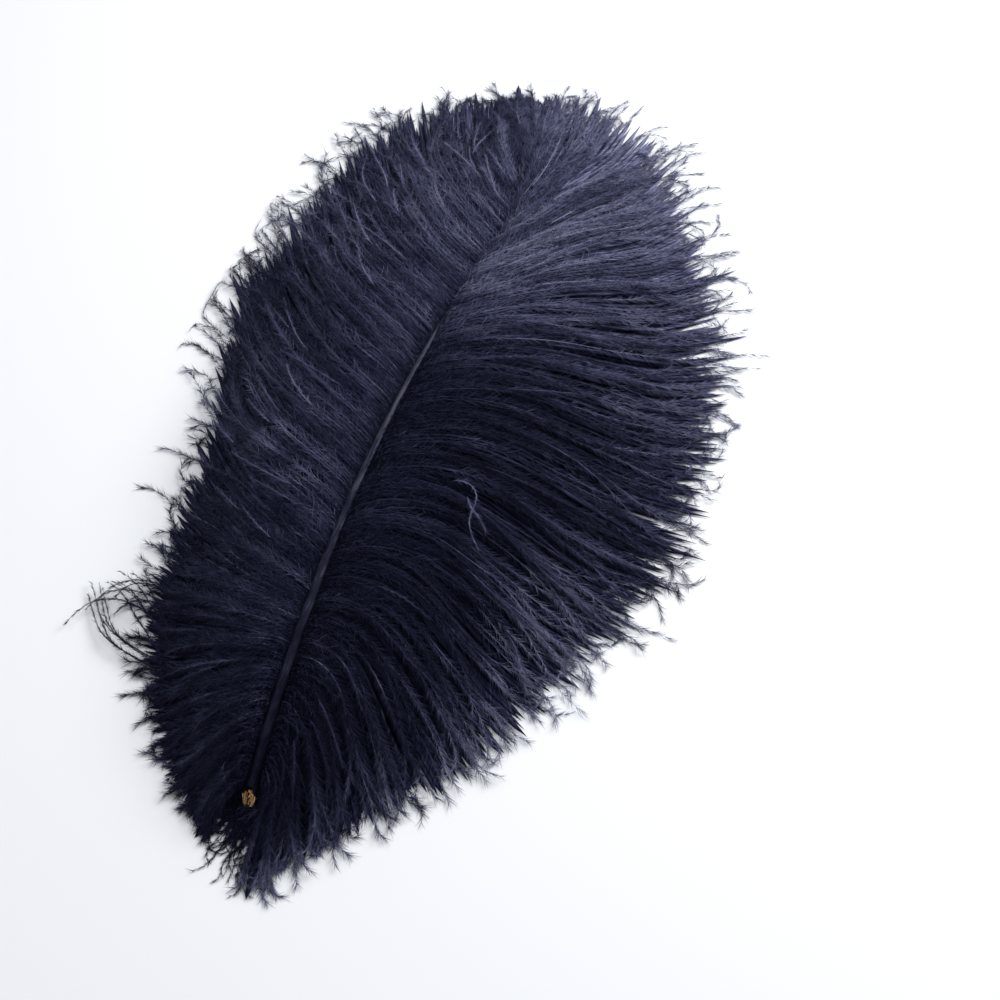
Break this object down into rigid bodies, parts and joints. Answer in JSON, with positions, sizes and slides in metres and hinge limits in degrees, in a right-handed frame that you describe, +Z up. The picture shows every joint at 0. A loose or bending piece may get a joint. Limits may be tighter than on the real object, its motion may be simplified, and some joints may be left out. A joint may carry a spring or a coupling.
{
  "type": "ostrich feather",
  "caption": "Large dyed navy ostrich plume lying on a table, with a hollow torn quill, an arched tapering shaft and long drooping barbs in pointed locks.",
  "frame": {"origin": "on the surface that the plume lies on, under the middle of its outline", "axes": "+Y from the torn quill end towards the tip, +X to the right of that, seen from above, +Z up"},
  "size_m": [0.3638, 0.6591, 0.0565],
  "materials": {
    "dyed_feather": "soft matte navy with a faint silky sheen"
  },
  "bodies": {
    "root": {"feather": "dyed_feather"}
  },
  "joints": []
}
